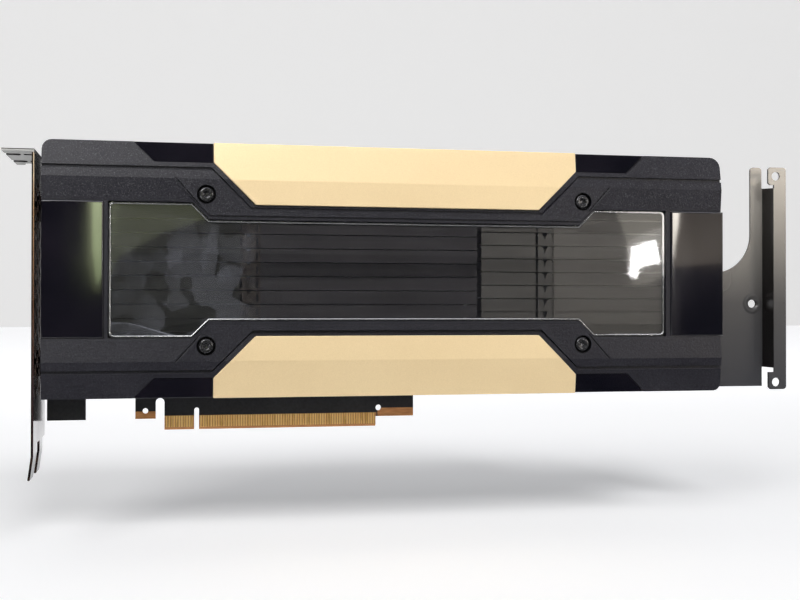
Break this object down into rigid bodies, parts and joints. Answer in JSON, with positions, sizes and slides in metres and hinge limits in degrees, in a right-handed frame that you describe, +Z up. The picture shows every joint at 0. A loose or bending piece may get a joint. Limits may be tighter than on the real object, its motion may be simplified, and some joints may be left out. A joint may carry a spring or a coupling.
{
  "type": "passive accelerator card",
  "caption": "Full-length dual-slot passive accelerator card with a vented slot bracket, finned cooler under a clear window, edge connector and a bracket at the tail.",
  "frame": {"origin": "centre of the edge connector's key notch, at the lower edge of the contacts and the middle of the board's thickness", "axes": "+X from the slot bracket towards the tail, -Y the shroud side, +Z up from the edge connector"},
  "size_m": [0.3229, 0.0432, 0.125],
  "materials": {
    "board": "satin",
    "contact_gold": "polished",
    "bracket_steel": "polished",
    "shroud_plastic": "fine texture",
    "gold_anodised": "satin",
    "gloss_black": "gloss",
    "clear_sheet": "clear gloss",
    "black_screw": "satin",
    "cooler_metal": "satin",
    "fin_metal": "satin",
    "substrate": "satin",
    "silicon": "polished",
    "plain_steel": "brushed",
    "choke_grey": "matte",
    "pad_grey": "matte",
    "chip_black": "matte",
    "capacitor_case": "matte",
    "connector_black": "matte",
    "backplate_black": "satin",
    "tail_steel": "satin"
  },
  "bodies": {
    "root": {"pcb": "board", "edge_contacts_front": "contact_gold", "edge_contacts_rear": "contact_gold", "io_bracket": "bracket_steel", "shroud": "shroud_plastic", "gold_panel_upper": "gold_anodised", "gold_panel_lower": "gold_anodised", "inlay_upper_left": "gloss_black", "inlay_upper_right": "gloss_black", "inlay_lower_left": "gloss_black", "inlay_lower_right": "gloss_black", "end_plate_left": "gloss_black", "end_plate_right": "gloss_black", "window_sheet": "clear_sheet", "shroud_screws": "black_screw", "shroud_posts": "cooler_metal", "cooler_base": "cooler_metal", "fin_stack_front": "fin_metal", "fin_stack_rear": "fin_metal", "processor_substrate": "substrate", "processor_die": "silicon", "memory_stacks": "silicon", "processor_stiffener": "plain_steel", "inductors": "choke_grey", "thermal_pads": "pad_grey", "power_stages": "chip_black", "capacitors": "capacitor_case", "power_connector": "connector_black", "power_pins": "contact_gold", "backplate": "backplate_black", "spring_plate": "plain_steel", "spring_screws": "plain_steel", "backplate_screws": "black_screw", "tail_bracket": "tail_steel", "tail_screws": "black_screw", "bracket_screws": "plain_steel"}
  },
  "joints": []
}
